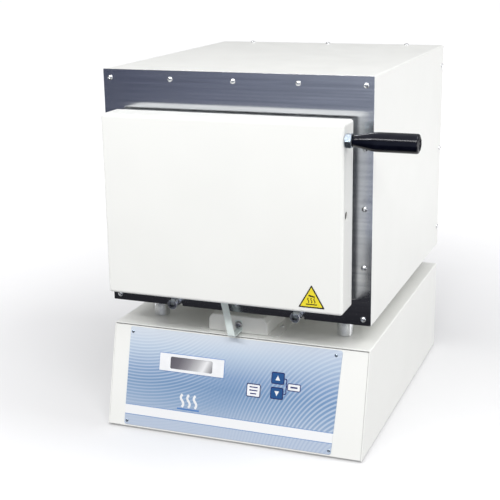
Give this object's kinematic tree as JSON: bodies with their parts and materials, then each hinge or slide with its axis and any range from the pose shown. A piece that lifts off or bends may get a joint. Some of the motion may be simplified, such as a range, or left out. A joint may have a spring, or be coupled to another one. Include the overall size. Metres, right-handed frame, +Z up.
{
  "type": "small electric muffle furnace",
  "caption": "Small electric muffle furnace on a control base: square insulated firing chamber on posts, drop-down door with side grip, sloping panel with display and keys.",
  "frame": {"origin": "middle of the whole footprint, on the surface the feet stand on", "axes": "+Z up; the door and control panel face -Y; the handle points to +X"},
  "size_m": [0.45, 0.5286, 0.5118],
  "materials": {
    "white_enamel": "satin",
    "stainless": "satin",
    "zinc_plate": "satin",
    "nut_zinc": "polished",
    "heat_sink_aluminium": "satin",
    "polished_steel": "polished",
    "black_phenolic": "gloss",
    "printed_label": "satin",
    "bezel_white": "satin",
    "key_blue": "satin",
    "display_window": "gloss",
    "circuit_board": "satin",
    "dark_plastic": "satin",
    "rubber": "matte",
    "ceramic_fibre": "matte",
    "muffle_ceramic": "matte",
    "heating_wire": "matte",
    "transformer_iron": "matte",
    "winding_copper": "satin",
    "warning_yellow": "satin"
  },
  "bodies": {
    "furnace": {"base_cover": "white_enamel", "base_tray": "white_enamel", "base_rear_panel": "white_enamel", "front_panel": "white_enamel", "housing_wrap": "white_enamel", "floor_pan": "white_enamel", "rear_panel": "white_enamel", "wiring_guard": "white_enamel", "front_plate": "stainless", "thermocouple": "stainless", "front_frame": "zinc_plate", "earth_strip": "zinc_plate", "hinge_pin_left": "zinc_plate", "hinge_pin_right": "zinc_plate", "heat_sink": "heat_sink_aluminium", "post_front_left": "polished_steel", "post_front_right": "polished_steel", "post_rear_left": "polished_steel", "post_rear_right": "polished_steel", "hinge_bar_left": "polished_steel", "hinge_bar_right": "polished_steel", "guard_screw_left": "polished_steel", "guard_screw_right": "polished_steel", "earth_bolt": "polished_steel", "control_label": "printed_label", "display_bezel": "bezel_white", "display_window": "display_window", "control_board": "circuit_board", "display_module": "dark_plastic", "power_relay": "dark_plastic", "power_inlet": "dark_plastic", "switch_frame": "dark_plastic", "foot_front_left": "rubber", "foot_front_right": "rubber", "foot_rear_left": "rubber", "foot_rear_right": "rubber", "insulation_top": "ceramic_fibre", "insulation_bottom": "ceramic_fibre", "insulation_left": "ceramic_fibre", "insulation_right": "ceramic_fibre", "insulation_back": "ceramic_fibre", "muffle": "muffle_ceramic", "heating_element_left": "heating_wire", "heating_element_right": "heating_wire", "transformer_core": "transformer_iron", "transformer_coil": "winding_copper"},
    "door": {"door_pan": "white_enamel", "door_liner": "stainless", "door_insulation": "ceramic_fibre", "hinge_arm_left": "zinc_plate", "hinge_arm_right": "zinc_plate", "handle_nut": "nut_zinc", "handle_stud": "zinc_plate", "handle_grip": "black_phenolic", "warning_plate": "warning_yellow"},
    "enter_key": {"key_enter": "bezel_white"},
    "up_key": {"key_up": "key_blue"},
    "down_key": {"key_down": "key_blue"},
    "rocker": {"switch_rocker": "dark_plastic"}
  },
  "joints": [
    {"name": "door_hinge", "type": "hinge", "parent": "furnace", "child": "door", "pos_m": [-0.035, -0.21365, 0.1915], "axis": [1, 0, 0], "range_deg": [0, 90]},
    {"name": "enter_key_press", "type": "slide", "parent": "furnace", "child": "enter_key", "axis": [0, 0.9679, -0.2512], "range_m": [0, 0.0005], "stiffness_N_per_m": 4000},
    {"name": "up_key_press", "type": "slide", "parent": "furnace", "child": "up_key", "axis": [0, 0.9679, -0.2512], "range_m": [0, 0.0005], "stiffness_N_per_m": 4000},
    {"name": "down_key_press", "type": "slide", "parent": "furnace", "child": "down_key", "axis": [0, 0.9679, -0.2512], "range_m": [0, 0.0005], "stiffness_N_per_m": 4000},
    {"name": "rocker_tilt", "type": "hinge", "parent": "furnace", "child": "rocker", "pos_m": [0.037, 0.23035, 0.076], "axis": [1, 0, 0], "range_deg": [0, 18]}
  ]
}
